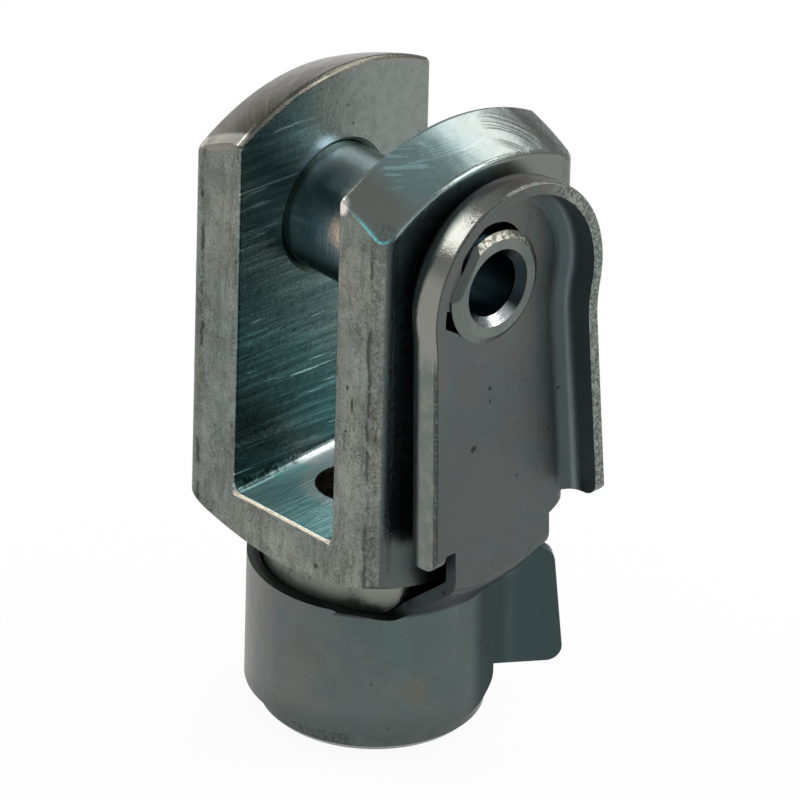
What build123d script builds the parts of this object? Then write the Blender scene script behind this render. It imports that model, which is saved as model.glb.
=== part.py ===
from build123d import *
from math import cos, radians, sin, sqrt, tan
import os

os.makedirs("parts", exist_ok=True)

# Clevis rod end for an M8 rod, with a folding spring clip.
# Frame: +Z runs up the fork from the middle of the neck's end face, X runs along the
# cross pin with the clip's plate on the +X side, and Y runs through the slot.

# ---------------------------------------------------------------- driving dimensions, mm
# Fork head: a square bar, turned at both ends, then slotted and drilled
bar_size = 16.0             # across the flats
bar_corner = 0.8            # rounded corners of the drawn bar
pin_height = 32.0           # neck end to the cross pin's axis
crown_rise = 9.7            # pin's axis to the top of the turned crown
crown_radius = 16.0
shoulder_height = 12.35     # underside of the bar at the middle of a flat
shoulder_slope = 25.0       # degrees, turned underside of the bar
shoulder_corner = 2.0       # radius where that slope runs out at the bar's corners
neck_diameter = 13.5
neck_chamfer = 0.4
neck_root_radius = 0.5
slot_width = 8.25
slot_floor = 15.5           # neck end to the floor of the slot
slot_corner = 0.6           # radius along the floor's two sides
crown_edge_radius = 0.5     # rounded edges where the crown meets the bar's sides
crown_slot_radius = 0.3     # and where it meets the slot
bore_chamfer = 0.3          # both edges of the cross bore in each ear

# Rod thread, modelled at its minor diameter
thread_size = 8.0
thread_pitch = 1.25
thread_depth = 12.6
drill_point = 118.0         # degrees, cone at the end of the tapping drill
thread_lead_in = 0.05       # lead-in cone beyond the thread's outside, on the radius
lead_in_angle = 120.0       # degrees, included
sight_hole_diameter = 4.4   # hole from the slot floor, shows how far the rod is in
sight_hole_offset = 2.1     # from the fork's axis towards -Y

# Clevis pin
pin_diameter = 7.95
pin_clearance = 0.045       # running fit in the ears, on the radius
pin_overhang = 0.3          # plain end beyond the ear
pin_end_chamfer = 0.6
spigot_diameter = 5.8       # turned-down end that passes through the clip
head_diameter = 7.1         # flared rivet head
head_rise = 0.4
head_bevel = 0.45
rivet_hole_diameter = 3.9
rivet_hole_depth = 5.0
rivet_hole_flare = 0.5
head_flat = 3.1             # the head is flattened on one side, from its middle
head_flat_slant = 0.35      # and less at the top, because the flat slopes
head_flat_angle = 145.5

# Spring clip, folded from one sheet
sheet = 0.8
ear_gap = 0.4               # ear to the sheet, at the pin's axis
clip_lean = 2.3             # degrees that the plate leans away from the fork downwards
rim_radius = 7.0            # rounded top of the plate, outside
rim_rise = 0.3              # centre of that round above the pin's axis
rim_height = 2.25           # upturned rim above the plate's outer face
rim_waist_right = 0.5       # the waist below the round is narrower by this to its two sides
rim_waist_left = 0.1
rim_waist_drop = 2.8        # pin's axis down to the waist
rim_foot_spread = 0.1       # the foot of the rim is wider than the round by this
rim_foot_height = 16.2      # neck end to the foot of the rim
rim_foot_corner = 1.0
waist_blend = 8.0
bend_radius = 1.0           # inside radius of the folds
rivet_fit = 0.02            # spigot in the clip's hole, on the radius
key_notch_width = 1.05      # square notch in one side of the clip's hole
key_notch_reach = 3.0
key_notch_offset = 2.86
scallop_radius = 2.6        # round notch at its top
scallop_offset = 1.55
scallop_angle = 93.0
roll_radius = 0.15          # outer edge of the rim
relief_inset = 0.35         # short shoulders below the rim's feet end this far inside the bend
relief_drop = 0.8           # foot of the rim down to where the tongue starts
relief_corner = 0.7
tongue_right = 0.35         # the tongue below them is narrower by this to its two sides
tongue_left = 1.7
step_left = 0.45            # the tongue widens by this into the step
step_foot = 9.9             # neck end to where the band flares out into the step
step_slope = 45.0           # degrees, a cone about the fork's axis
step_blend = 0.6            # radius where the band starts to flare
step_fold = 0.3             # inside radius of the fold between the step and the tongue
step_side_rise = 0.4        # the tongue starts to widen this far above the step's highest point
step_side_foot = 0.75       # height of the step's side edge above the flare, where it turns away
step_side_corner = 1.0
band_clearance = 0.10       # neck to the band
band_bottom = 1.7
band_top = 10.1
band_dip_start = 6.9        # the top edge starts to dip this far in front of the neck's axis
leg_length = 1.8            # straight part of the band's legs beyond the neck's axis
leg_end = 2.38
leg_corner = 2.4
lip_angle = 54.0            # degrees, direction in which the band's ends flare out
lip_bend = 1.3              # inside radius
lip_bottom = 4.6
tab_reach = 3.98            # thumb tab, along its slope at the foot
tab_taper = 5.4             # degrees, slant of its free edge
tab_top = 12.4              # neck end to the top of the tab
tab_corner = 0.95
tab_top_corner = 1.0
far_lip_reach = 2.0         # plain lip on the other side

# ---------------------------------------------------------------- values worked out from them
crown_height = pin_height + crown_rise
rim_foot_half_width = rim_radius + rim_foot_spread
relief_half_width = rim_foot_half_width - sheet - bend_radius - relief_inset
relief_height = rim_foot_height - relief_drop
tongue_right_y = relief_half_width - tongue_right
tongue_left_y = -(relief_half_width - tongue_left)
bar_half = bar_size / 2
bar_reach = bar_half * sqrt(2)
neck_radius = neck_diameter / 2
shoulder_rise = tan(radians(shoulder_slope))
thread_minor = thread_size - 1.0825 * thread_pitch
pin_radius = pin_diameter / 2
bore_radius = pin_radius + pin_clearance
plate_x = bar_half + ear_gap            # inner face of the clip's plate at the pin's axis
band_inner = neck_radius + band_clearance
band_outer = band_inner + sheet
lean = radians(clip_lean)
step_reach = sqrt((plate_x + 2 * sheet) ** 2 + relief_half_width**2)
slope = tan(radians(step_slope))
step_side_top = step_foot + (step_reach - band_outer) * slope + step_side_rise
pin_axis = Axis((0, 0, pin_height), (1, 0, 0))


def shoulder_z(radius):
    """Height of the turned underside of the bar at a distance from the fork's axis."""
    return shoulder_height + (radius - bar_half) * shoulder_rise


def plate_back_x(height):
    """X of the leaning plate's inner face at a height above the neck's end."""
    return plate_x + (pin_height - height) * tan(lean)


# The plate's own plane: local x is Y, local y runs up the plate, local z points outwards
plate_plane = Plane(
    origin=(plate_x, 0, pin_height),
    x_dir=(0, 1, 0),
    z_dir=(cos(lean), 0, sin(lean)),
)


def up_plate(height):
    """Distance up the plate, from the pin's axis, of a height above the neck's end."""
    return (height - pin_height) / cos(lean)


def on_step_fold(edge):
    """Whether an edge lies where the step's cone meets one of the plate's two faces."""
    return edge.geom_type == GeomType.HYPERBOLA and (edge @ 0.5).X > band_outer


# ---------------------------------------------------------------- fork head
with BuildPart() as fork_head:
    with BuildSketch():
        RectangleRounded(bar_size, bar_size, bar_corner)
    extrude(amount=crown_height)

    # Turned outline: chamfered neck, sloping shoulder and domed crown
    crown_edge = crown_height - crown_radius + sqrt(crown_radius**2 - bar_reach**2)
    with BuildSketch(Plane.XZ):
        with BuildLine():
            Polyline(
                (0, crown_height),
                (0, 0),
                (neck_radius - neck_chamfer, 0),
                (neck_radius, neck_chamfer),
                (neck_radius, shoulder_z(neck_radius)),
                (bar_reach, shoulder_z(bar_reach)),
                (bar_reach, crown_edge),
            )
            RadiusArc((bar_reach, crown_edge), (0, crown_height), -crown_radius)
        make_face()
        fillet(vertices().group_by(Axis.X)[-1].sort_by(Axis.Y)[0], shoulder_corner)
    revolve(axis=Axis.Z, mode=Mode.INTERSECT)
    neck_root = fork_head.edges().filter_by(GeomType.CIRCLE).filter_by(
        lambda edge: abs(edge.radius - neck_radius) < 1e-4
    ).sort_by(Axis.Z)[-1]
    fillet(neck_root, neck_root_radius)
    fillet(fork_head.faces().filter_by(GeomType.SPHERE).edges(), crown_edge_radius)

    # Slot between the two ears
    with BuildSketch(Plane.XZ):
        with Locations((0, slot_floor)):
            Rectangle(slot_width, 2 * crown_height, align=(Align.CENTER, Align.MIN))
        fillet(vertices(Select.LAST).group_by(Axis.Z)[0], slot_corner)
    extrude(amount=bar_size, both=True, mode=Mode.SUBTRACT)

    # Rounded edges of the crown along the slot
    fillet(
        fork_head.edges().filter_by(
            lambda edge: edge.geom_type == GeomType.CIRCLE
            and abs(abs((edge @ 0.5).X) - slot_width / 2) < 1e-4
            and (edge @ 0.5).Z > pin_height
        ),
        crown_slot_radius,
    )

    # Cross bore through both ears
    with Locations(Location((0, 0, pin_height), (0, 90, 0))):
        Hole(bore_radius)
    chamfer(
        fork_head.edges().filter_by(
            lambda edge: edge.geom_type == GeomType.CIRCLE and abs(edge.radius - bore_radius) < 1e-4
        ),
        bore_chamfer,
    )

    # Threaded bore from the neck, with the drill's cone at its end
    with BuildSketch(Plane.XZ):
        minor_radius = thread_minor / 2
        mouth_radius = thread_size / 2 + thread_lead_in
        with BuildLine():
            Polyline(
                (0, 0),
                (mouth_radius, 0),
                (minor_radius, (mouth_radius - minor_radius) / tan(radians(lead_in_angle / 2))),
                (minor_radius, thread_depth),
                (0, thread_depth + minor_radius / tan(radians(drill_point / 2))),
                close=True,
            )
        make_face()
    revolve(axis=Axis.Z, mode=Mode.SUBTRACT)

    # Sight hole from the slot floor into the end of the thread
    with BuildSketch(Plane.XY.offset(slot_floor)):
        with Locations((0, -sight_hole_offset)):
            Circle(sight_hole_diameter / 2)
    extrude(amount=thread_depth - thread_pitch / 2 - slot_floor, mode=Mode.SUBTRACT)

fork_head.part.label = "fork_head"
export_step(fork_head.part, "parts/fork_head.step")

# ---------------------------------------------------------------- clevis pin
with BuildPart() as clevis_pin:
    # Plain shaft, chamfered at its free end, up to the shoulder behind the clip
    shoulder_x = plate_back_x(pin_height + pin_radius)
    shaft_start = -bar_half - pin_overhang
    with BuildSketch(Plane.XZ.offset(0)):
        with BuildLine():
            Polyline(
                (shaft_start, pin_height),
                (shaft_start, pin_height + pin_radius - pin_end_chamfer),
                (shaft_start + pin_end_chamfer / 2, pin_height + pin_radius),
                (shoulder_x, pin_height + pin_radius),
                (shoulder_x, pin_height),
                close=True,
            )
        make_face()
    revolve(axis=pin_axis)

    # Spigot through the clip and the flared head on it, square to the leaning plate
    with BuildSketch(Plane(plate_plane.origin, x_dir=plate_plane.z_dir, z_dir=(0, -1, 0))) as head_outline:
        with BuildLine():
            Polyline(
                (-sheet / 2, 0),
                (-sheet / 2, spigot_diameter / 2),
                (sheet, spigot_diameter / 2),
                (sheet, head_diameter / 2),
                (sheet + head_rise / 4, head_diameter / 2),
                (sheet + head_rise, head_diameter / 2 - head_bevel),
                (sheet + head_rise, 0),
                close=True,
            )
        make_face()
    plate_axis = Axis(plate_plane.origin, plate_plane.z_dir)
    revolve(axis=plate_axis)

    # Flattened side of the head
    flat_turn = radians(head_flat_angle)
    flat_side = plate_plane.x_dir * cos(flat_turn) + plate_plane.y_dir * sin(flat_turn)
    flat_along = plate_plane.z_dir.cross(flat_side)
    with BuildSketch(Plane(plate_plane.origin, x_dir=flat_side, z_dir=flat_along)):
        with BuildLine():
            Polyline(
                (head_flat, -sheet),
                (head_flat - head_flat_slant, -sheet - head_rise),
                (head_diameter, -sheet - head_rise),
                (head_diameter, -sheet),
                close=True,
            )
        make_face()
    extrude(amount=head_diameter, both=True, mode=Mode.SUBTRACT)

    # Drilled end of the rivet, opened out at its mouth
    with BuildSketch(Plane(plate_plane.origin, x_dir=plate_plane.z_dir, z_dir=(0, -1, 0))):
        hole_radius = rivet_hole_diameter / 2
        face_height = sheet + head_rise
        with BuildLine():
            Polyline(
                (face_height, 0),
                (face_height, hole_radius + rivet_hole_flare),
                (face_height - rivet_hole_flare, hole_radius),
                (face_height - rivet_hole_depth, hole_radius),
                (face_height - rivet_hole_depth - hole_radius / tan(radians(drill_point / 2)), 0),
                close=True,
            )
        make_face()
    revolve(axis=plate_axis, mode=Mode.SUBTRACT)

clevis_pin.part.label = "clevis_pin"
export_step(clevis_pin.part, "parts/clevis_pin.step")

# ---------------------------------------------------------------- spring clip
rim_centre = up_plate(pin_height + rim_rise)
rim_foot = up_plate(rim_foot_height)
waist = up_plate(pin_height - rim_waist_drop)
relief = up_plate(relief_height)
tongue_foot = up_plate(step_side_top)
rim_edge = sheet + rim_height
flare = radians(90 - lip_angle)

with BuildPart() as spring_clip:
    # Plate and rim: the blank's outline is folded up all round, then trimmed at the foot
    with BuildSketch(plate_plane) as blank:
        with Locations((0, rim_centre)):
            Circle(rim_radius)
        narrowing = (rim_centre - rim_foot) / (waist - rim_foot)
        blank_foot = rim_foot - 2 * sheet
        with BuildLine():
            Polyline(
                (-rim_foot_half_width, blank_foot),
                (rim_foot_half_width, blank_foot),
                (rim_foot_half_width, rim_foot),
                (rim_foot_half_width - (rim_foot_spread + rim_waist_right) * narrowing, rim_centre),
                (-rim_foot_half_width + (rim_foot_spread + rim_waist_left) * narrowing, rim_centre),
                (-rim_foot_half_width, rim_foot),
                close=True,
            )
        make_face()
        waist_corners = blank.sketch_local.vertices().filter_by(lambda corner: corner.Y > waist - 1)
        fillet(waist_corners, waist_blend)
    extrude(amount=rim_edge)
    fillet(spring_clip.faces().sort_by(plate_axis)[-1].edges(), roll_radius)
    back_edges = spring_clip.faces().sort_by(plate_axis)[0].edges()
    fillet(back_edges.filter_by(lambda edge: (edge @ 0.5).Z > rim_foot_height - sheet), bend_radius + sheet)
    with BuildSketch(plate_plane.offset(sheet)):
        add(blank.sketch_local)
        offset(amount=-sheet, mode=Mode.REPLACE)
    extrude(amount=rim_height, mode=Mode.SUBTRACT)
    floor_edges = spring_clip.faces().filter_by(
        lambda face: abs(plate_plane.to_local_coords(face.center()).Z - sheet) < 1e-4
    ).edges()
    fillet(floor_edges.filter_by(lambda edge: (edge @ 0.5).Z > rim_foot_height - sheet / 4), bend_radius)
    with BuildSketch(plate_plane):
        with Locations((0, rim_foot)):
            Rectangle(4 * rim_foot_half_width, 8 * sheet, align=(Align.CENTER, Align.MAX))
    extrude(amount=rim_edge, mode=Mode.SUBTRACT)
    corner_origin = plate_plane.from_local_coords(Vector(0, rim_foot, rim_edge))
    with BuildSketch(Plane(corner_origin, x_dir=plate_plane.y_dir, z_dir=plate_plane.x_dir)):
        with Locations((rim_foot_corner, -rim_foot_corner)):
            Rectangle(rim_foot_corner, rim_foot_corner, align=(Align.MAX, Align.MIN))
            Circle(rim_foot_corner, mode=Mode.SUBTRACT)
    extrude(amount=2 * rim_foot_half_width, both=True, mode=Mode.SUBTRACT)

    # Tongue below the rim, a little wider where it steps in
    with BuildSketch(plate_plane):
        with BuildLine():
            Polyline(
                (relief_half_width, rim_foot + 2 * sheet),
                (relief_half_width, relief),
                (tongue_right_y, relief),
                (tongue_right_y, tongue_foot),
                (tongue_left_y, tongue_foot),
                (tongue_left_y, relief),
                (-relief_half_width, relief),
                (-relief_half_width, rim_foot + 2 * sheet),
                close=True,
            )
        make_face()
    extrude(amount=sheet)
    relief_corners = spring_clip.edges().filter_by(
        lambda edge: abs(plate_plane.to_local_coords(edge @ 0.5).Y - rim_foot) < 1e-4
        and abs(abs((edge @ 0.5).Y) - relief_half_width) < 1e-4
    )
    fillet(relief_corners, relief_corner)

    # Hole for the rivet's spigot, with the two notches of the blank's keyed hole
    with BuildSketch(plate_plane):
        Circle(spigot_diameter / 2 + rivet_fit)
        with Locations(Location((0, 0, 0), (0, 0, head_flat_angle))):
            with Locations((0, key_notch_offset)):
                Rectangle(key_notch_reach, key_notch_width, align=(Align.MIN, Align.CENTER))
        with PolarLocations(scallop_offset, 1, start_angle=scallop_angle):
            Circle(scallop_radius)
    extrude(amount=sheet, mode=Mode.SUBTRACT)

    # Space inside the step's sheet, and the space that its outside encloses
    wall_top = step_side_top + 2 * sheet
    with BuildPart(mode=Mode.PRIVATE) as step_inside:
        inner_foot = step_foot + sheet * tan(radians(step_slope / 2))
        with BuildSketch(Plane.XZ):
            with BuildLine():
                Polyline(
                    (0, band_bottom),
                    (-band_inner, band_bottom),
                    (-band_inner, inner_foot),
                    (-band_inner - (wall_top - inner_foot) / slope, wall_top),
                    (0, wall_top),
                    close=True,
                )
            make_face()
            fillet(vertices().sort_by_distance((-band_inner, inner_foot))[0], step_blend + sheet)
        revolve(axis=Axis.Z)
        with BuildSketch(plate_plane):
            Rectangle(6 * band_outer, 6 * band_outer)
        extrude(amount=6 * band_outer, mode=Mode.SUBTRACT)
        fillet(step_inside.edges().filter_by(on_step_fold), step_fold)
    with BuildPart(mode=Mode.PRIVATE) as step_sheet:
        with BuildSketch(Plane.XZ):
            with BuildLine():
                Polyline(
                    (0, band_bottom),
                    (-band_outer, band_bottom),
                    (-band_outer, step_foot),
                    (-band_outer - (wall_top - step_foot) / slope, wall_top),
                    (0, wall_top),
                    close=True,
                )
            make_face()
            fillet(vertices().sort_by_distance((-band_outer, step_foot))[0], step_blend)
        revolve(axis=Axis.Z)
        with BuildSketch(plate_plane.offset(sheet)):
            Rectangle(6 * band_outer, 6 * band_outer)
        extrude(amount=6 * band_outer, mode=Mode.SUBTRACT)
        fillet(step_sheet.edges().filter_by(on_step_fold), step_fold + sheet)
        add(step_inside.part, mode=Mode.SUBTRACT)

    # Band, legs and flared lips, drawn in plan and stood up
    with BuildSketch(mode=Mode.PRIVATE) as band_plan:
        with BuildLine():
            near_leg = Line((band_inner, 0), (band_inner, leg_length))
            near_bend = JernArc(near_leg @ 1, near_leg % 1, radius=lip_bend + sheet, arc_size=lip_angle - 90)
            Line(near_bend @ 1, near_bend @ 1 + (near_bend % 1) * 2 * tab_reach)
            ThreePointArc((band_inner, 0), (0, -band_inner), (-band_inner, 0))
            far_leg = Line((-band_inner, 0), (-band_inner, leg_length))
            far_bend = JernArc(far_leg @ 1, far_leg % 1, radius=lip_bend + sheet, arc_size=90 - lip_angle)
            Line(far_bend @ 1, far_bend @ 1 + (far_bend % 1) * far_lip_reach)
            offset(amount=sheet, side=Side.RIGHT)
        make_face()
    tab_plane = Plane(
        origin=(
            band_outer + lip_bend * (1 - cos(flare)),
            leg_length + lip_bend * sin(flare),
            0,
        ),
        x_dir=(sin(flare), cos(flare), 0),
        z_dir=(cos(flare), -sin(flare), 0),
    )
    far_lip_plane = Plane(
        origin=(-tab_plane.origin.X, tab_plane.origin.Y, 0),
        x_dir=(-sin(flare), cos(flare), 0),
        z_dir=(cos(flare), sin(flare), 0),
    )
    with BuildPart(mode=Mode.PRIVATE) as walls:
        with BuildSketch(Plane.XY.offset(band_bottom)):
            add(band_plan.sketch)
        extrude(amount=wall_top - band_bottom)

        # Lower ends of the legs, rounded up to the foot of the lips
        with BuildSketch(Plane.YZ):
            with BuildLine():
                Polyline(
                    (leg_end, band_bottom + leg_corner),
                    (leg_end, lip_bottom),
                    (3 * band_outer, lip_bottom),
                    (3 * band_outer, 0),
                    (leg_end - leg_corner, 0),
                    (leg_end - leg_corner, band_bottom),
                )
                RadiusArc(
                    (leg_end - leg_corner, band_bottom), (leg_end, band_bottom + leg_corner), -leg_corner
                )
            make_face()
        extrude(amount=3 * band_outer, both=True, mode=Mode.SUBTRACT)

        # Top edge of the band, and the room inside the step
        with BuildSketch(Plane.XZ):
            with Locations((0, band_top)):
                Rectangle(3 * band_outer, wall_top, align=(Align.MAX, Align.MIN))
        extrude(amount=3 * band_outer, both=True, mode=Mode.SUBTRACT)
        add(step_inside.part, mode=Mode.SUBTRACT)

        # Free edges of the thumb tab and of the lip on the other side
        for lip_plane, reach, taper, lip_top, low_corner, high_corner in (
            (tab_plane, tab_reach, tab_taper, tab_top, tab_corner, tab_top_corner),
            (far_lip_plane, far_lip_reach, 0, band_top, tab_corner, tab_corner),
        ):
            with BuildSketch(lip_plane.offset(sheet)):
                with Locations((lip_bend, 0)):
                    Rectangle(3 * tab_reach, 2 * wall_top, align=(Align.MIN, Align.MIN))
                with BuildSketch(mode=Mode.PRIVATE) as kept:
                    with BuildLine():
                        Polyline(
                            (0, lip_bottom),
                            (reach, lip_bottom),
                            (reach - (lip_top - lip_bottom) * tan(radians(taper)), lip_top),
                            (0, lip_top),
                            close=True,
                        )
                    make_face()
                    right_corners = kept.sketch_local.vertices().sort_by(Axis.X)[2:].sort_by(Axis.Y)
                    fillet(right_corners[0], low_corner)
                    top_corner = kept.sketch_local.vertices().sort_by(Axis.Y)[-2:].sort_by(Axis.X)[-1]
                    fillet(top_corner, high_corner)
                add(kept.sketch_local, mode=Mode.SUBTRACT)
            extrude(amount=-4 * sheet, mode=Mode.SUBTRACT)

    # Space inside the band, which the step must not enter
    with BuildSketch(mode=Mode.PRIVATE) as inside_plan:
        with BuildLine():
            near_leg = Line((band_inner, 0), (band_inner, leg_length))
            near_bend = JernArc(near_leg @ 1, near_leg % 1, radius=lip_bend + sheet, arc_size=lip_angle - 90)
            near_lip = Line(near_bend @ 1, near_bend @ 1 + (near_bend % 1) * 2 * tab_reach)
            Line(near_lip @ 1, (-band_inner, (near_lip @ 1).Y))
            Line((-band_inner, (near_lip @ 1).Y), (-band_inner, 0))
            ThreePointArc((-band_inner, 0), (0, -band_inner), (band_inner, 0))
        make_face()
    with BuildPart(mode=Mode.PRIVATE) as step_trimmed:
        with BuildSketch(Plane.XY.offset(step_foot - 2 * sheet)):
            with Locations((0, tongue_right_y)):
                Rectangle(2 * band_outer, tongue_right_y + band_dip_start, align=(Align.MIN, Align.MAX))
        extrude(amount=step_side_top + sheet / 4 - step_foot + 2 * sheet)
        add(step_sheet.part, mode=Mode.INTERSECT)
        with BuildSketch():
            add(inside_plan.sketch)
        extrude(amount=wall_top, mode=Mode.SUBTRACT)
    add(step_trimmed.part)
    add(walls.part)

    # Side edge of the step: down from the tongue, then round into the band's top edge
    with BuildSketch(Plane.YZ):
        with BuildLine():
            side = Spline(
                (tongue_left_y, step_side_top),
                (tongue_left_y - step_left, step_foot + step_side_foot),
                tangents=((0, -1), (0, -1)),
            )
            turn = JernArc(side @ 1, (0, -1), radius=step_side_corner, arc_size=-90)
            Spline(turn @ 1, (-band_dip_start, band_top), tangents=((-1, 0), (-1, 0)))
            Polyline(
                (-band_dip_start, band_top),
                (-2 * band_outer, band_top),
                (-2 * band_outer, step_side_top + sheet / 4),
                (tongue_left_y, step_side_top + sheet / 4),
                (tongue_left_y, step_side_top),
            )
        make_face()
    extrude(amount=2 * band_outer, mode=Mode.SUBTRACT)

spring_clip.part.label = "spring_clip"
export_step(spring_clip.part, "parts/spring_clip.step")
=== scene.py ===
from math import cos, pi, radians, sin
from types import SimpleNamespace

import bpy
from mathutils import Matrix, Vector


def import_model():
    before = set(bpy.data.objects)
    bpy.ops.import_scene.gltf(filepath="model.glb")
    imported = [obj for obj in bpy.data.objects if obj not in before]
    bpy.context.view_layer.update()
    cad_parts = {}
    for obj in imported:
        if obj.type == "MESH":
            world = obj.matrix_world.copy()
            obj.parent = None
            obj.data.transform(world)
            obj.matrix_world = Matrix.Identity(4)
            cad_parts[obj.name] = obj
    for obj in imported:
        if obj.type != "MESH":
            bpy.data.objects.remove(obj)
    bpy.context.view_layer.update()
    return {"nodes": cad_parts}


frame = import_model()

# Lengths in the materials are in mm, as in the part's source: z up from the neck's end face,
# x along the cross pin with the clip's plate at +x, y through the slot, front faces towards -y.
MM = 0.001
SLOT_FLOOR = 15.5
SIGHT_HOLE_Y = -2.1
CROWN_FOOT = 36.0                     # the turned crown lies above this height
PIN_HEIGHT = 32.0
PLATE_X = 8.4                         # inner face of the clip's plate at the pin's axis
PLATE_LEAN = radians(2.3)             # and how far it leans away from the fork downwards
PLATE_NORMAL = (cos(PLATE_LEAN), 0.0, sin(PLATE_LEAN))
PLATE_UP = (-sin(PLATE_LEAN), 0.0, cos(PLATE_LEAN))
SHARP_EDGE = radians(28)              # steeper edges of the mesh are shaded sharp

# Marks at their own places: x, z, half width and half height on the front faces
NICKS = (
    (-6.86, 25.74, 0.16, 0.36), (5.66, 25.60, 0.11, 0.55), (5.25, 26.6, 0.13, 0.16),
    (2.99, 13.44, 0.17, 0.19), (5.2, 23.6, 0.14, 0.12), (-7.1, 34.6, 0.12, 0.3),
)
# and y, height up the plate from the pin's axis, and size on the clip's plate
PLATE_PITS = ((-1.67, -10.27, 0.26), (-0.3, -6.7, 0.15), (1.9, -13.4, 0.14))


def srgb(r, g, b):
    """A colour given in 0-255 display values."""
    def channel(c):
        c /= 255.0
        return c / 12.92 if c <= 0.04045 else ((c + 0.055) / 1.055) ** 2.4
    return channel(r), channel(g), channel(b)


# ---------------------------------------------------------------- node helpers
class Nodes:
    """Short calls for building a node tree. Values are sockets, numbers or tuples."""

    def __init__(self, owner, output):
        owner.use_nodes = True
        self.tree = owner.node_tree
        self.tree.nodes.clear()
        self.out = self.tree.nodes.new(output)

    def node(self, kind, inputs, output=0, **settings):
        n = self.tree.nodes.new("ShaderNode" + kind)
        for name, value in settings.items():
            setattr(n, name, value)
        for key, value in inputs.items():
            self.put(n.inputs[key], value)
        return n.outputs[output]

    def put(self, socket, value):
        if isinstance(value, bpy.types.NodeSocket):
            self.tree.links.new(value, socket)
        elif hasattr(value, "__len__") and len(value) < len(socket.default_value):
            socket.default_value = (*value, 1.0)
        else:
            socket.default_value = value

    def finish(self, shader):
        self.tree.links.new(shader, self.out.inputs[0])

    def math(self, op, a, b=0.5):
        return self.node("Math", {0: a, 1: b}, operation=op)

    def add(self, a, b): return self.math("ADD", a, b)
    def sub(self, a, b): return self.math("SUBTRACT", a, b)
    def mul(self, a, b): return self.math("MULTIPLY", a, b)
    def inv(self, a): return self.math("SUBTRACT", 1.0, a)
    def absolute(self, a): return self.math("ABSOLUTE", a)

    def hypot(self, a, b):
        return self.math("SQRT", self.add(self.mul(a, a), self.mul(b, b)))

    def both(self, first, *masks):
        """The product of masks: 1 only where all of them are."""
        for mask in masks:
            first = self.mul(first, mask)
        return first

    def either(self, first, *masks):
        """The largest of masks."""
        for mask in masks:
            first = self.math("MAXIMUM", first, mask)
        return first

    def step(self, v, low, high):
        """0 below low, 1 above high, smooth between; low may be above high."""
        flip = low > high
        return self.node("MapRange", {
            "Value": v, "From Min": min(low, high), "From Max": max(low, high),
            "To Min": 1.0 if flip else 0.0, "To Max": 0.0 if flip else 1.0,
        }, interpolation_type="SMOOTHSTEP")

    def window(self, v, low, full, end, high):
        """1 from full to end, fading to 0 at low and at high."""
        return self.mul(self.step(v, low, full), self.step(v, high, end))

    def split(self, v):
        return self.node("SeparateXYZ", {0: v}).node.outputs

    def join(self, x, y, z=0.0):
        return self.node("CombineXYZ", {0: x, 1: y, 2: z})

    def mix_shaders(self, fac, a, b):
        return self.node("MixShader", {0: fac, 1: a, 2: b})

    def light_path(self):
        return self.node("LightPath", {}).node.outputs


class Graph(Nodes):
    """One material of the part, on its own coordinates in mm."""

    def __init__(self, name):
        self.material = bpy.data.materials.new(name)
        super().__init__(self.material, "ShaderNodeOutputMaterial")
        coords = self.node("TexCoord", {}).node
        self.mm = self.node("VectorMath", {0: coords.outputs["Object"], "Scale": 1 / MM},
                            operation="SCALE")
        self.normal = coords.outputs["Normal"]
        self.x, self.y, self.z = self.split(self.mm)
        self.nx, self.ny, self.nz = self.split(self.normal)

    def minus(self, a, b):
        return self.node("VectorMath", {0: a, 1: b}, operation="SUBTRACT")

    def dot(self, a, b):
        return self.node("VectorMath", {0: a, 1: b}, "Value", operation="DOT_PRODUCT")

    def length(self, v):
        return self.node("VectorMath", {0: v}, "Value", operation="LENGTH")

    def near(self, x, y, z):
        """Distance from a point."""
        return self.length(self.minus(self.mm, (x, y, z)))

    def noise(self, where, scale, detail, rough, warp=0.0):
        return self.node("TexNoise", {"Vector": where, "Scale": scale, "Detail": detail,
                                      "Roughness": rough, "Distortion": warp}, "Fac")

    def streaks(self, x, y, z, detail, rough, warp=0.0):
        """Noise stretched by (coordinate, factor) pairs: a small factor makes it long."""
        return self.noise(self.join(self.mul(*x), self.mul(*y), self.mul(*z)),
                          1.0, detail, rough, warp)

    def mix(self, mask, under, over, share=None):
        """Lays a colour over another where the mask is 1, or in part by share.
        A colour is a socket or 0-255 display values."""
        under, over = (c if isinstance(c, bpy.types.NodeSocket) else srgb(*c)
                       for c in (under, over))
        mask = mask if share is None else self.mul(mask, share)
        return self.node("Mix", {0: mask, 6: under, 7: over}, 2, data_type="RGBA")

    def lerp(self, fac, a, b):
        return self.node("Mix", {0: fac, 2: a, 3: b}, data_type="FLOAT")

    def centred(self, noise, share):
        """A noise about 0."""
        return self.mul(self.sub(noise, 0.5), share)

    def metal(self, colour, rough, height, depth):
        """Bare metal with a bump of up to the given depth. Ends the material."""
        bump = self.node("Bump", {"Height": height, "Strength": 1.0, "Distance": depth * MM})
        self.finish(self.node("BsdfPrincipled", {
            "Metallic": 1.0, "Base Color": colour, "Roughness": rough, "Normal": bump}))
        return self.material


def assign(node, material):
    mesh = frame["nodes"][node].data
    mesh.shade_smooth()
    mesh.set_sharp_from_angle(angle=SHARP_EDGE)
    if not mesh.materials:
        mesh.materials.append(material)
    for i in range(len(mesh.materials)):
        mesh.materials[i] = material


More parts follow.
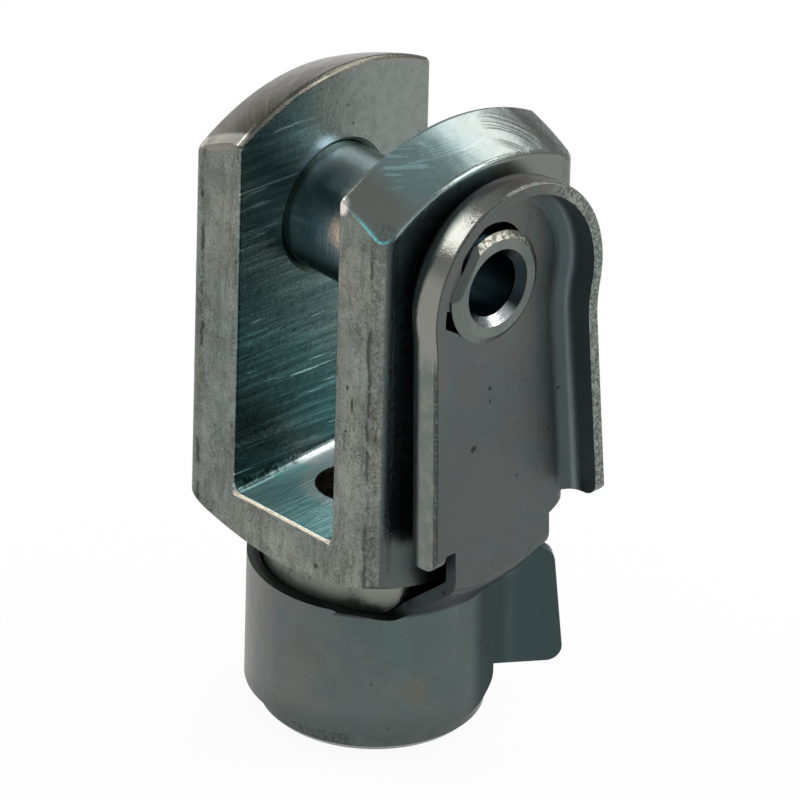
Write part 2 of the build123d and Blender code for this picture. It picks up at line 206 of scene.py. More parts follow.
# ---------------------------------------------------------------- fork head
def fork_places(g):
    """Masks of the fork's faces, and the patches of its plating from large to fine."""
    m = SimpleNamespace()
    m.off_x, m.off_y = g.absolute(g.x), g.absolute(g.y)
    m.radius = g.hypot(g.x, g.y)
    m.right_ear = g.step(g.x, -1.0, 1.0)

    m.front = g.step(g.absolute(g.ny), 0.75, 0.9)
    side = g.step(g.absolute(g.nx), 0.75, 0.9)
    m.inside = g.both(side, g.step(m.off_x, 4.6, 4.3),
                      g.step(g.z, SLOT_FLOOR - 0.2, SLOT_FLOOR + 0.2))
    m.outside = g.both(side, g.step(m.off_x, 7.4, 7.8), m.right_ear)
    m.floor = g.both(g.step(g.nz, 0.7, 0.9), g.step(g.z, SLOT_FLOOR + 2.0, SLOT_FLOOR + 1.0))
    m.crown = g.both(g.step(g.nz, 0.55, 0.75), g.step(g.z, CROWN_FOOT, CROWN_FOOT + 0.8))
    m.crown_edge = g.both(g.window(g.nz, 0.12, 0.3, 0.7, 0.88),
                          g.step(g.z, CROWN_FOOT + 0.2, CROWN_FOOT + 0.8))
    m.corner = g.both(g.step(g.math("MAXIMUM", m.off_x, m.off_y), 7.0, 7.3),
                      g.step(g.math("MINIMUM", m.off_x, m.off_y), 6.7, 7.1))
    m.neck = g.both(g.window(m.radius, 5.6, 6.0, 6.9, 7.2), g.step(g.z, 12.4, 12.0))

    m.cloud = g.noise(g.mm, 0.16, 4.0, 0.6)
    m.blotch = g.noise(g.mm, 0.55, 4.0, 0.6, 0.4)
    m.speck = g.noise(g.mm, 1.6, 5.0, 0.65)
    m.grain = g.noise(g.mm, 6.0, 3.0, 0.65)
    m.crystals = g.noise(g.mm, 4.2, 4.0, 0.75, 0.8)
    return m


def fork_plating(g, m):
    """Uneven zinc on all faces, with the long streaks of a drawn bar."""
    drawn = g.streaks((g.x, 2.2), (g.y, 2.2), (g.z, 0.35), 4.0, 0.6, 0.4)
    colour = g.mix(g.step(m.cloud, 0.38, 0.64), (117, 125, 119), (134, 136, 126))
    for patches, low, high, tone, share in (
            (m.blotch, 0.44, 0.70, (92, 96, 88), 0.55),
            (m.blotch, 0.50, 0.30, (143, 152, 145), 0.5),
            (drawn, 0.50, 0.66, (86, 90, 82), 0.5),
            (drawn, 0.48, 0.30, (150, 156, 148), 0.35),
            (m.speck, 0.50, 0.70, (86, 90, 82), 0.4),
            (m.grain, 0.50, 0.68, (80, 84, 78), 0.6),
            (m.grain, 0.46, 0.30, (158, 162, 152), 0.55)):
        colour = g.mix(g.step(patches, low, high), colour, tone, share)
    return colour


def fork_marks(g, m):
    """A wavy lap along each corner of the bar with painted shade beside it, strongest on the right
    ear's lower front corner, and cracks, pits and nicks on its flats.
    """
    right_low = g.both(g.step(g.x, 0.0, 1.0), g.step(g.z, 33.0, 30.0), g.step(g.y, 0.0, -1.0))
    wobble = g.streaks((g.x, 0.05), (g.y, 0.05), (g.z, 0.45), 5.0, 0.65)
    broken = g.streaks((g.x, 0.4), (g.y, 0.3), (g.z, 0.55), 4.0, 0.7)
    off_lap = g.absolute(g.sub(m.off_x, g.add(7.02, g.centred(wobble, 1.1))))
    lap = g.both(m.front, g.step(off_lap, 0.20, 0.04),
                 g.step(g.add(broken, g.mul(right_low, 0.13)), 0.50, 0.62))
    # Painted shade beside the lap, at full strength on the right ear's lower front corner.
    m.lap_shade = g.both(m.front, g.step(off_lap, 0.5, 0.0), g.step(broken, 0.38, 0.58),
                         g.lerp(right_low, 0.4, 1.0))

    vein = g.streaks((g.x, 2.4), (g.y, 2.4), (g.z, 0.8), 4.0, 0.6, 1.6)
    cracked = g.add(g.noise(g.mm, 0.42, 2.0, 0.5), g.mul(right_low, 0.06))
    crack = g.both(m.front, g.step(g.absolute(g.sub(vein, 0.5)), 0.014, 0.003),
                   g.step(cracked, 0.54, 0.62))
    m.pit = g.step(g.noise(g.mm, 1.5, 2.0, 0.4), 0.735, 0.775)

    nicks = []
    for x, z, wide, high in NICKS:
        away = g.length(g.join(g.mul(g.sub(g.x, x), 1 / wide), g.mul(g.sub(g.z, z), 1 / high)))
        nicks.append(g.step(g.add(away, g.mul(m.speck, 0.8)), 1.6, 0.9))
    m.marks = g.either(g.mul(lap, 0.9), g.mul(crack, 0.8), g.both(m.pit, m.front, 0.7),
                       g.both(g.either(*nicks), g.step(g.ny, -0.7, -0.9)))


def fork_inside(g, m, colour):
    """Inner faces of the ears: long shallow arcs left by the slotting cutter, and painted shade
    deeper in the slot.
    """
    arc = g.add(g.z, g.add(g.mul(0.11, g.y), g.mul(0.003, g.mul(g.y, g.y))))
    m.milled = g.streaks((arc, 2.2), (g.y, 0.10), (g.x, 0.2), 5.0, 0.68, 0.1)
    m.milled_fine = g.noise(g.join(g.mul(arc, 9.0), g.mul(g.y, 0.30), g.x), 1.0, 3.0, 0.6)
    scratch = g.streaks((arc, 4.2), (g.y, 0.22), (g.x, 0.3), 2.0, 0.5)
    scratched = g.step(g.noise(g.mm, 0.30, 2.0, 0.5), 0.46, 0.56)
    long_scratch = g.both(m.inside, g.step(g.absolute(g.sub(arc, 35.0)), 0.10, 0.03),
                          g.step(g.y, -2.8, -3.4), g.step(g.x, 0.0, -1.0))
    matte = g.both(g.step(g.add(g.y, m.blotch), -2.6, 0.2), g.step(g.z, 32.5, 34.5))
    m.glossy = g.inv(matte)

    tone = g.mix(g.step(m.cloud, 0.35, 0.65), (82, 108, 108), (102, 124, 121))
    # Painted shade: darker towards the slot floor, where the milled streaks also fade.
    tone = g.mix(g.step(g.z, 26.0, 19.0), tone, (56, 76, 74))
    tone = g.mix(g.step(m.milled, 0.46, 0.64), tone, (140, 166, 163),
                 g.lerp(g.step(g.z, 26.0, 20.0), 0.55, 0.3))
    tone = g.mix(g.step(m.milled_fine, 0.56, 0.70), tone, (44, 60, 60), 0.6)
    tone = g.mix(matte, tone,
                 g.mix(g.step(m.speck, 0.36, 0.66), (128, 135, 131), (118, 125, 120)))
    colour = g.mix(m.inside, colour, tone)
    colour = g.mix(g.both(m.inside, g.step(scratch, 0.64, 0.70), scratched, m.glossy),
                   colour, (214, 224, 218), 0.8)
    colour = g.mix(long_scratch, colour, (226, 234, 228), 0.8)
    colour = g.mix(g.both(m.inside, m.pit), colour, (40, 44, 42), 0.8)

    # Burnished arc where the drill came through, on the upper edge of each bore
    above_pin = g.sub(g.z, PIN_HEIGHT)
    off_pin = g.hypot(g.y, above_pin)
    m.lip = g.both(m.inside, g.step(g.add(off_pin, g.mul(m.blotch, 0.8)), 5.6, 4.9),
                   g.step(above_pin, 3.0, 4.2), g.step(g.y, 1.0, -0.6))
    colour = g.mix(m.lip, colour, (176, 190, 196), 0.8)
    bore_edge = g.both(g.step(off_pin, 4.9, 4.7), g.window(m.off_x, 4.14, 4.2, 5.6, 6.0))
    return g.mix(bore_edge, colour, (186, 196, 180))


def fork_floor(g, m, colour):
    """Slot floor painted pale teal as a reflection, with painted highlights beside the left ear and
    round the sight hole, rust inside the hole brightened as painted light on its far wall, and a
    worn front edge.
    """
    m.milled_floor = g.noise(g.join(g.mul(g.x, 3.0), g.mul(g.y, 0.3)), 1.0, 4.0, 0.65, 0.3)
    # Painted reflection: the floor's base much paler and tealer than the fork's other faces.
    tone = g.mix(g.step(m.milled_floor, 0.40, 0.60), (164, 224, 224), (204, 248, 248))
    colour = g.mix(m.floor, colour, tone)
    fillet = g.both(g.window(g.nz, 0.10, 0.25, 0.9, 0.97),
                    g.window(g.z, SLOT_FLOOR - 0.3, SLOT_FLOOR - 0.2,
                             SLOT_FLOOR + 0.8, SLOT_FLOOR + 1.1),
                    g.step(m.off_x, 3.2, 3.5), g.step(g.y, -0.5, -3.0))
    tone = g.mix(g.step(m.speck, 0.45, 0.55), (74, 96, 94), (150, 172, 172))
    colour = g.mix(fillet, colour, tone)

    off_hole = g.hypot(g.x, g.sub(g.y, SIGHT_HOLE_Y))
    # Painted highlight: white patches on the floor beside the left ear and round the sight hole.
    off_floor_highlight = g.length(g.join(g.add(g.x, 3.9), g.mul(g.add(g.y, 0.9), 0.8)))
    burr_and_highlight = g.either(g.step(g.add(off_floor_highlight, m.blotch), 2.3, 1.4),
                    g.mul(g.step(g.add(off_hole, m.blotch), 3.9, 3.1), 0.7))
    burr_and_highlight = g.both(burr_and_highlight, g.step(g.nz, 0.3, 0.6), g.step(g.z, SLOT_FLOOR + 1.5, SLOT_FLOOR + 1.0))
    colour = g.mix(burr_and_highlight, colour, (244, 248, 250))
    # Rust inside the sight hole, its tone brightened as painted light on the hole's far wall.
    rust_and_lit_wall = g.both(g.step(off_hole, 2.35, 2.25),
                   g.window(g.z, 12.0, 12.4, SLOT_FLOOR - 0.1, SLOT_FLOOR + 0.05))
    tone = g.mix(g.step(m.speck, 0.4, 0.6), (196, 170, 160), (112, 100, 94))
    colour = g.mix(rust_and_lit_wall, colour, tone, 0.9)
    worn = g.both(g.step(m.off_y, 7.80, 7.86), g.step(m.off_x, 4.15, 3.9),
                  g.window(g.z, SLOT_FLOOR - 0.22, SLOT_FLOOR - 0.14,
                           SLOT_FLOOR + 0.3, SLOT_FLOOR + 0.4))
    return g.mix(worn, colour, (236, 224, 204))


def fork_crown(g, m, colour):
    """Turned crown: rings round the bar's axis, cutter marks in two patches, edges with a painted
    teal glint at the right ear's front, painted shade on the right ear's back, and painted
    highlights along the left ear's front and at the right ear's front corner.
    """
    m.rings = g.streaks((m.radius, 3.4), (g.y, 0.05), (g.x, 0.05), 4.0, 0.7)
    m.ring_patch = g.step(g.noise(g.mm, 0.28, 2.0, 0.5), 0.44, 0.60)
    cuts = g.streaks((g.z, 9.0), (g.x, 0.3), (g.y, 0.4), 2.0, 0.5)
    cut = g.both(m.right_ear, g.step(g.near(5.7, -4.0, 40.1), 2.0, 1.0),
                 g.step(cuts, 0.54, 0.60))
    arcs = g.noise(g.join(g.mul(g.near(11.0, 1.0, 40.0), 4.2), g.mul(g.y, 0.1)), 1.0, 2.0, 0.5)
    arc_cut = g.both(m.right_ear, g.step(g.near(6.2, 4.2, 39.7), 2.3, 1.2),
                     g.step(arcs, 0.50, 0.56))
    m.crown_cuts = g.either(cut, arc_cut)

    tone = g.mix(g.step(g.y, -6.4, -4.6), (124, 126, 120), (124, 147, 147))
    tone = g.mix(g.step(g.y, -2.5, 2.0), tone, (138, 144, 141))
    # The left ear's crown darker brown, with a painted highlight along its front edge.
    left_tone = g.mix(g.step(g.y, -6.9, -7.2), (92, 88, 78), (206, 200, 188))
    tone = g.mix(g.inv(m.right_ear), tone, left_tone)
    tone = g.mix(cut, tone, (176, 216, 220), 0.45)
    tone = g.mix(arc_cut, tone, (72, 76, 74), 0.75)
    # Painted shade on the back of the right ear's crown.
    tone = g.mix(g.both(m.right_ear, g.step(g.add(g.y, m.blotch), 5.6, 6.6)), tone, (84, 88, 84))
    tone = g.mix(g.both(g.step(m.rings, 0.45, 0.7), m.ring_patch), tone, (160, 172, 170), 0.25)
    colour = g.mix(m.crown, colour, tone)

    # Painted glint in teal along the right ear's front crown edge.
    teal_glint = g.both(g.step(g.y, -6.8, -7.3), g.step(g.nz, 0.62, 0.52), g.step(g.x, 4.6, 6.8))
    edge_tone = g.mix(m.right_ear, (132, 128, 118),
                      g.mix(teal_glint, (128, 134, 130), (120, 188, 192)))
    colour = g.mix(g.both(m.crown_edge, g.step(m.blotch, 0.70, 0.50)), colour, edge_tone)
    # Painted highlight at the right ear's front crown corner.
    return g.mix(g.step(g.near(4.3, -7.9, 38.5), 0.75, 0.4), colour, (240, 232, 224), 0.9)


def fork_material():
    g = Graph("fork_zinc_plated_steel")
    m = fork_places(g)
    fork_marks(g, m)
    colour = fork_plating(g, m)
    colour = fork_inside(g, m, colour)
    colour = fork_floor(g, m, colour)
    colour = fork_crown(g, m, colour)

    # Outer face of the right ear painted lighter under the clip and painted darker below z 17,
    # corners with painted shade beside the laps, the neck painted darker low down, and the dark
    # marks over all
    # Painted light over the outer face where the clip shades it, and painted shade below z 17.
    tone = g.mix(g.step(m.off_y, 6.8, 7.2), (134, 154, 154), (76, 92, 92))
    tone = g.mix(g.both(g.step(g.y, -0.5, 2.5), g.step(g.z, 34.0, 36.0)), tone, (116, 120, 115))
    tone = g.mix(g.step(g.z, 18.0, 16.8), tone, (78, 86, 84))
    colour = g.mix(m.outside, colour, tone)
    colour = g.mix(g.both(m.corner, g.step(m.crystals, 0.44, 0.60)), colour, (84, 90, 84), 0.6)
    # Painted shade beside the laps.
    colour = g.mix(m.lap_shade, colour, (84, 86, 78), 0.45)
    # Painted shade: the neck darker below its top, inside the band and down to the floor.
    tone = g.mix(g.step(m.speck, 0.35, 0.68), (78, 86, 84), (88, 95, 91))
    tone = g.mix(g.step(g.add(g.z, m.blotch), 9.0, 12.6), tone, (130, 134, 123))
    colour = g.mix(m.neck, colour, tone)
    colour = g.mix(m.marks, colour, (46, 50, 46), 0.85)

    rough = g.lerp(m.front, 0.30, 0.42)
    for mask, value in ((m.inside, 0.27), (m.floor, 0.40), (m.crown, 0.24),
                        (m.crown_edge, 0.18), (m.lip, 0.22)):
        rough = g.lerp(mask, rough, value)
    rough = g.add(rough, g.centred(m.speck, 0.25))

    plain = g.inv(g.mul(g.either(m.floor, m.crown, m.crown_edge), 0.8))
    height = g.mul(g.add(g.centred(m.grain, 0.22), g.centred(m.speck, 0.35)), plain)
    height = g.add(height, g.both(m.corner, m.crystals, plain, 0.9))
    height = g.add(height, g.both(m.inside, m.milled, m.glossy, 1.15))
    height = g.add(height, g.both(m.inside, m.milled_fine, m.glossy, 0.30))
    height = g.sub(height, g.mul(m.crown_cuts, 0.5))
    height = g.add(height, g.both(m.floor, m.milled_floor, 0.9))
    height = g.add(height, g.both(m.crown, m.rings, g.add(0.35, m.ring_patch), 0.5))
    height = g.sub(height, g.mul(m.marks, 1.6))
    return g.metal(colour, rough, height, 0.05)


# ---------------------------------------------------------------- clevis pin
def pin_material():
    g = Graph("pin_zinc_plated_steel")
    above_pin = g.sub(g.z, PIN_HEIGHT)
    radius = g.hypot(g.y, above_pin)
    off_plate = g.dot(g.minus(g.mm, (PLATE_X, 0.0, PIN_HEIGHT)), PLATE_NORMAL)
    facing = g.dot(g.normal, PLATE_NORMAL)
    up_facing = g.dot(g.normal, PLATE_UP)
    outward = g.add(g.mul(g.y, g.ny), g.mul(above_pin, g.nz))
    head = g.step(off_plate, 0.5, 0.7)
    slanted = g.step(facing, 0.95, 0.85)
    bevel = g.both(head, slanted, g.step(facing, 0.3, 0.5), g.step(outward, 0.0, 0.5))
    bevel_top_highlight = g.both(bevel, g.step(g.add(up_facing, g.mul(g.ny, 0.35)), 0.25, 0.5))
    sink = g.both(head, slanted, g.step(outward, 0.0, -0.5))

    grooves = g.noise(g.join(g.mul(g.x, 6.0), g.mul(radius, 4.0)), 1.0, 4.0, 0.6)
    cloud = g.noise(g.mm, 0.5, 3.0, 0.6)
    grain = g.noise(g.mm, 5.0, 4.0, 0.7)
    dents = g.noise(g.mm, 3.2, 3.0, 0.65, 0.5)

    # Shaft, with a painted highlight along its top and a painted warm reflection on its front
    colour = g.mix(g.step(cloud, 0.35, 0.65), (80, 102, 110), (100, 116, 120))
    top_highlight_painted = g.both(g.inv(head), g.step(g.add(g.nz, g.centred(cloud, 0.3)), 0.70, 0.96),
                      g.step(g.ny, 0.55, 0.2))
    colour = g.mix(top_highlight_painted, colour, (196, 210, 216), 0.6)
    # Painted warm reflection.
    off_warm_reflection = g.near(0.7, -3.6, 33.5)
    colour = g.mix(g.step(g.add(off_warm_reflection, g.mul(grain, 1.4)), 2.5, 1.4),
                   colour, (196, 176, 152), 0.8)

    # Rivet head: face, dented bevel with a painted highlight on its top, and the flare of its hole
    # painted dark with a painted glint low on it
    tone = g.mix(g.step(cloud, 0.35, 0.65), (98, 108, 105), (114, 120, 115))
    tone = g.mix(g.step(grain, 0.48, 0.7), tone, (84, 90, 88), 0.4)
    colour = g.mix(head, colour, tone)
    colour = g.mix(bevel, colour, (104, 112, 108))
    colour = g.mix(bevel_top_highlight, colour,
                   g.mix(g.step(dents, 0.42, 0.6), (126, 124, 112), (212, 210, 198)))
    # Painted shade in the flare, and a painted glint where it faces up.
    glint = g.both(g.step(up_facing, 0.36, 0.55), g.step(g.absolute(g.ny), 0.5, 0.25))
    colour = g.mix(sink, colour, g.mix(glint, (36, 46, 48), (206, 210, 212)))

    rough = g.lerp(sink, g.lerp(head, 0.22, 0.36), 0.2)
    height = g.add(g.mul(grooves, 0.5), g.centred(grain, 0.5))
    height = g.add(height, g.both(bevel, dents, g.add(0.3, bevel_top_highlight), 1.9))
    return g.metal(colour, rough, height, 0.03)


# ---------------------------------------------------------------- spring clip
def clip_places(g):
    """Masks of the clip's plate, rim, turn and band, and the patches of its plating."""
    m = SimpleNamespace()
    offset = g.minus(g.mm, (PLATE_X, 0.0, PIN_HEIGHT))
    m.off_plate = g.dot(offset, PLATE_NORMAL)
    m.up_plate = g.dot(offset, PLATE_UP)
    m.facing = g.dot(g.normal, PLATE_NORMAL)
    m.radius = g.hypot(g.x, g.y)

    m.above = g.step(g.z, 15.3, 15.9)
    m.low = g.step(g.z, 11.6, 10.6)
    m.right = g.step(g.y, 1.5, 4.5)
    wall_middle = g.math("MAXIMUM", g.sub(m.up_plate, 0.3), 0.0)
    outward = g.add(g.mul(g.y, g.ny), g.mul(wall_middle, g.dot(g.normal, PLATE_UP)))
    m.outward = g.step(outward, 0.0, 1.5)
    m.wall = g.both(m.above, g.step(m.off_plate, 0.9, 1.3), g.step(m.facing, 0.75, 0.5))
    m.outer_wall = g.both(m.wall, m.outward)
    m.rim_end = g.both(m.above, g.step(m.off_plate, 2.9, 3.0), g.step(m.facing, 0.6, 0.8))

    m.cloud = g.noise(g.mm, 0.15, 4.0, 0.6)
    m.blotch = g.noise(g.mm, 0.45, 3.0, 0.55, 0.5)
    m.speck = g.noise(g.mm, 1.1, 5.0, 0.62)
    m.grain = g.noise(g.mm, 6.0, 3.0, 0.65)
    m.torn = g.noise(g.mm, 4.4, 4.0, 0.7, 0.6)
    m.polished = g.both(m.outer_wall, g.step(g.add(m.up_plate, m.speck), -2.6, -0.6),
                        g.step(g.y, 0.5, -2.0),
                        g.step(g.sub(m.off_plate, g.mul(m.up_plate, 0.1)), 1.0, 1.5))
    m.line = g.both(m.above, m.outward, g.step(m.off_plate, 2.66, 2.8),
                    g.step(m.facing, 0.97, 0.8), g.inv(m.polished))

    pits = [g.mul(g.step(g.noise(g.mm, 1.6, 2.0, 0.35), 0.755, 0.785), 0.7)]
    for y, up, size in PLATE_PITS:
        away = g.length(g.join(g.sub(g.y, y), g.sub(m.up_plate, up), g.sub(m.off_plate, 0.8)))
        pits.append(g.step(g.add(away, g.centred(m.speck, 0.5)), size, size * 0.5))
    m.pits = g.either(*pits)
    return m


def clip_sheet(g, m):
    """Flat sheet of the plate and of the band, with faint streaks and patches, and painted light
    and shade across the band.
    """
    streaks = g.streaks((g.y, 0.7), (g.x, 0.7), (g.z, 0.18), 3.0, 0.5, 0.6)
    plate = g.mix(g.step(m.cloud, 0.38, 0.62), (88, 95, 94), (96, 97, 94))
    plate = g.mix(g.step(streaks, 0.52, 0.66), plate, (86, 102, 102), 0.7)
    plate = g.mix(g.step(m.blotch, 0.60, 0.72), plate, (80, 84, 84), 0.5)
    plate = g.mix(g.step(m.up_plate, -3.0, -8.0), plate, (80, 86, 85), 0.6)

    # Painted light and shade: the band paler on its left and darker teal towards its right.
    band = g.mix(g.step(g.x, -5.0, 5.5), (115, 113, 110), (84, 97, 96))
    band = g.mix(g.step(streaks, 0.44, 0.70), band, (84, 102, 104), 0.4)
    band = g.mix(g.step(m.cloud, 0.44, 0.66), band, (110, 110, 105), 0.4)
    band = g.mix(g.step(m.blotch, 0.40, 0.75), band, (82, 88, 86), 0.35)
    # Painted shade: the band darker towards the floor.
    band = g.mix(g.step(g.add(g.z, m.blotch), 4.0, 2.2), band, (70, 78, 74), 0.45)
    off_rust = g.near(6.91, -3.28, 4.62)
    band = g.mix(g.step(g.add(off_rust, m.speck), 1.9, 0.6), band, (108, 104, 84), 0.45)

    colour = g.mix(m.low, plate, band)
    colour = g.mix(g.step(m.grain, 0.5, 0.74), colour, (70, 76, 74), 0.32)
    return g.mix(g.step(m.grain, 0.46, 0.26), colour, (118, 122, 118), 0.25)


def clip_rim(g, m, colour):
    """Rim: its outside with a polished patch, its inside, and the sheared edge of the sheet,
    which is plain with fine breaks, and ragged and lighter on the right."""
    tone = g.mix(g.step(m.speck, 0.4, 0.65), (104, 113, 107), (122, 126, 118))
    # Painted shade on the outer wall near the plate.
    tone = g.mix(g.step(m.off_plate, 1.75, 1.25), tone, (64, 72, 72))
    top = g.both(g.step(g.add(m.up_plate, m.speck), 5.4, 6.8), g.step(g.y, -3.0, -1.0))
    tone = g.mix(top, tone, (74, 70, 68))
    colour = g.mix(m.outer_wall, colour, tone)
    colour = g.mix(m.polished, colour, (134, 133, 127), 0.85)
    colour = g.mix(g.both(m.wall, g.inv(m.outward)), colour, (108, 118, 122))
    # Painted shade in the fold on the right side.
    fold_painted_shade = g.both(m.above, g.window(m.facing, 0.45, 0.7, 0.96, 0.998), g.step(g.y, 2.0, 3.5),
                  g.step(m.off_plate, 2.6, 2.2))
    colour = g.mix(fold_painted_shade, colour, (62, 76, 78), 0.6)

    colour = g.mix(g.both(m.rim_end, g.step(m.torn, 0.58, 0.68)), colour, (66, 70, 68), 0.3)
    burr_and_highlight = g.both(m.above, g.step(m.off_plate, 2.75, 2.85), g.step(m.up_plate, 5.2, 5.9),
                  g.window(g.y, -1.2, -0.4, 3.4, 4.2), m.outward)
    colour = g.mix(burr_and_highlight, colour, (210, 210, 200), 0.30)
    colour = g.mix(g.both(m.rim_end, m.right, g.step(m.torn, 0.56, 0.42)),
                   colour, (146, 154, 144), 0.9)
    return g.mix(g.both(m.line, g.step(m.torn, 0.34, 0.50)), colour, (48, 50, 48), 0.75)


def clip_turn(g, m, colour):
    """Painted shade where the tongue turns into the band: on the inner half of the band's cut top,
    the flare, the tongue's side, the cut foot of the plate at the right, the bend of the leg and
    the thumb tab."""
    cut_edge = g.both(g.step(g.nz, 0.12, 0.35), g.window(g.z, 9.0, 9.4, 13.0, 13.6))
    # Painted shadow on the inner half of the band's cut top, away from the plate.
    tone = g.mix(g.both(g.step(m.radius, 7.15, 7.4), g.step(g.x, 1.0, -2.5)),
                 (34, 40, 42), (88, 96, 90))
    colour = g.mix(cut_edge, colour, tone, 0.9)
    # Painted shade on the flare, which faces down.
    flare = g.both(g.step(g.nz, -0.12, -0.4), g.window(g.z, 8.8, 9.4, 13.8, 14.5))
    colour = g.mix(flare, colour, (50, 52, 60), 0.85)
    # Painted shade on the tongue's side.
    turn_side = g.both(g.step(g.ny, -0.7, -0.85), g.window(g.z, 8.6, 9.2, 15.2, 16.0),
                       g.step(g.x, 6.0, 6.6))
    colour = g.mix(turn_side, colour, (50, 56, 58), 0.85)
    # Painted shade on the cut foot of the plate, on faces that turn away or down.
    right_cut = g.both(g.either(g.step(g.ny, 0.3, 0.6), g.step(g.nz, -0.4, -0.7)),
                       g.step(m.off_plate, 1.1, 0.95), g.step(g.y, 3.2, 3.8),
                       g.window(g.z, 13.0, 13.6, 18.8, 19.5), g.step(g.x, 6.0, 6.6))
    colour = g.mix(right_cut, colour, (40, 42, 52), 0.85)
    outer = g.step(g.x, 6.6, 7.6)
    # Painted shade in the bend of the leg.
    bend = g.both(g.step(g.y, 0.4, 1.6), g.step(m.radius, 9.4, 8.4), outer,
                  g.step(g.z, 11.0, 10.4))
    colour = g.mix(bend, colour, (46, 58, 60), 0.8)
    # Painted shade: the thumb tab darker teal.
    tab = g.both(g.step(g.y, 2.2, 3.4), outer, g.step(g.z, 13.4, 12.8),
                 g.step(m.radius, 8.3, 9.4))
    return g.mix(tab, colour, (56, 71, 72), 0.9)


def clip_material():
    g = Graph("clip_zinc_plated_sheet")
    m = clip_places(g)
    colour = clip_sheet(g, m)
    colour = clip_rim(g, m, colour)
    colour = clip_turn(g, m, colour)
    colour = g.mix(m.pits, colour, (34, 36, 34), 0.8)

    rough = g.add(0.38, g.centred(m.speck, 0.2))
    for mask, value in ((m.outer_wall, 0.30), (m.polished, 0.17), (m.rim_end, 0.45)):
        rough = g.lerp(mask, rough, value)

    rolled = g.streaks((g.y, 1.6), (g.x, 1.6), (g.z, 0.12), 4.0, 0.6, 0.3)
    height = g.add(g.centred(m.grain, 0.22), g.centred(m.speck, 0.35))
    height = g.add(height, g.mul(rolled, 0.25))
    height = g.sub(height, g.mul(m.pits, 1.5))
    height = g.add(height, g.both(m.rim_end, m.torn, g.add(0.05, m.right)))
    height = g.sub(height, g.mul(m.line, 0.5))
    return g.metal(colour, rough, height, 0.05)


assign("fork_head", fork_material())
assign("clevis_pin", pin_material())
assign("spring_clip", clip_material())


# ---------------------------------------------------------------- stage
def floor_plane(half=3.0, grey=0.93, white_share=0.93):
    """A pale floor that keeps the part's shadow, and is near white to the camera and in metal."""
    mesh = bpy.data.meshes.new("floor")
    mesh.from_pydata([(-half, -half, 0), (half, -half, 0), (half, half, 0), (-half, half, 0)],
                     [], [(0, 1, 2, 3)])
    floor = bpy.data.objects.new("floor", mesh)
    bpy.context.scene.collection.objects.link(floor)
    material = bpy.data.materials.new("floor_paper")
    n = Nodes(material, "ShaderNodeOutputMaterial")
    ray = n.light_path()
    seen = n.either(ray["Is Camera Ray"], ray["Is Glossy Ray"], ray["Is Transmission Ray"])
    paper = n.node("BsdfDiffuse", {"Color": (grey, grey, grey)})
    white = n.node("Emission", {"Color": (1, 1, 1), "Strength": 1.0})
    n.finish(n.mix_shaders(n.mul(seen, white_share), paper, white))
    mesh.materials.append(material)


def world():
    """White to the camera. In the metal its walls are white, and its ceiling and far end dimmer."""
    studio = bpy.data.worlds.new("studio")
    bpy.context.scene.world = studio
    n = Nodes(studio, "ShaderNodeOutputWorld")
    _, across, up = n.split(n.node("TexCoord", {}, "Generated"))
    ceiling = n.step(up, 0.12, 0.34)
    far_end = n.mul(n.step(across, 0.45, 0.85), n.step(up, -0.02, 0.04))
    white = n.node("Background", {"Color": (1, 1, 1), "Strength": 1.0})
    dim = n.node("Background", {"Color": (0.95, 1.0, 1.0), "Strength": 0.5})
    soft = n.node("Background", {"Color": (1, 1, 1), "Strength": 0.6})
    reflected = n.mix_shaders(n.either(ceiling, far_end), white, dim)
    ray = n.light_path()
    in_metal = n.either(ray["Is Glossy Ray"], ray["Is Transmission Ray"])
    n.finish(n.mix_shaders(ray["Is Camera Ray"], n.mix_shaders(in_metal, soft, reflected), white))


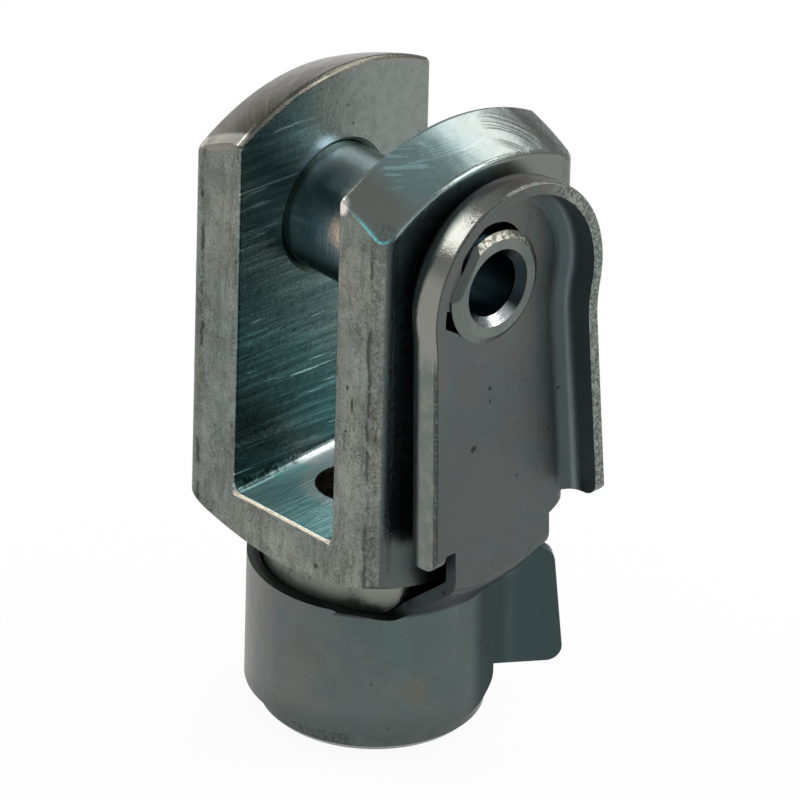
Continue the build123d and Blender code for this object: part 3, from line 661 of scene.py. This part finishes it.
def softbox(name, direction, width, height, radiance):
    """An area lamp of a given brightness, aimed at the middle of the part."""
    distance, middle = 0.7, Vector((0, 0, 0.022))
    towards = Vector(direction).normalized()
    lamp = bpy.data.lights.new(name, "AREA")
    lamp.shape = "RECTANGLE"
    lamp.size, lamp.size_y = width, height
    lamp.energy = radiance * pi * width * height
    obj = bpy.data.objects.new(name, lamp)
    obj.location = middle + towards * distance
    obj.rotation_euler = towards.to_track_quat("Z", "Y").to_euler()
    bpy.context.scene.collection.objects.link(obj)


floor_plane()
world()
softbox("back_softbox", (-0.08, 0.75, 0.66), 0.46, 0.37, 2.6)
softbox("left_softbox", (-0.65, -0.28, 0.66), 0.40, 0.24, 3.8)
softbox("right_softbox", (0.61, 0.62, 0.50), 0.34, 0.28, 4.0)


# ---------------------------------------------------------------- camera
# Fitted to the photo: AIM falls on AIM_PIXEL, at PIXELS_PER_MM, in a square frame of FRAME pixels
AZIMUTH, ELEVATION, ROLL = radians(44.406), radians(29.935), radians(1.399)
AIM = Vector((0, 0, 0.024))
AIM_PIXEL = (379.87, 347.07)
PIXELS_PER_MM = 16.871
DISTANCE = 1.250
FRAME = 800
SENSOR = 36.0

back = Vector((sin(AZIMUTH) * cos(ELEVATION), -cos(AZIMUTH) * cos(ELEVATION), sin(ELEVATION)))
right = Vector((cos(AZIMUTH), sin(AZIMUTH), 0))
up = back.cross(right)
pixels_per_metre = PIXELS_PER_MM / MM
dx, dy = FRAME / 2 - AIM_PIXEL[0], FRAME / 2 - AIM_PIXEL[1]
along_right = (dx * cos(ROLL) + dy * sin(ROLL)) / pixels_per_metre
along_down = (-dx * sin(ROLL) + dy * cos(ROLL)) / pixels_per_metre
location = AIM + back * DISTANCE
middle = AIM + right * along_right - up * along_down
z_axis = (location - middle).normalized()
x_axis = up.cross(z_axis).normalized()
y_axis = z_axis.cross(x_axis)
rolled_x = x_axis * cos(ROLL) + y_axis * sin(ROLL)
rolled_y = z_axis.cross(rolled_x)

camera_data = bpy.data.cameras.new("camera")
camera_data.sensor_width = SENSOR
camera_data.lens = pixels_per_metre * DISTANCE * SENSOR / FRAME
camera_data.clip_start, camera_data.clip_end = 0.05, 20
camera = bpy.data.objects.new("camera", camera_data)
turn = Matrix((rolled_x, rolled_y, z_axis)).transposed().to_4x4()
camera.matrix_world = Matrix.Translation(location) @ turn
bpy.context.scene.collection.objects.link(camera)
bpy.context.scene.camera = camera
bpy.context.scene.view_settings.view_transform = "Standard"
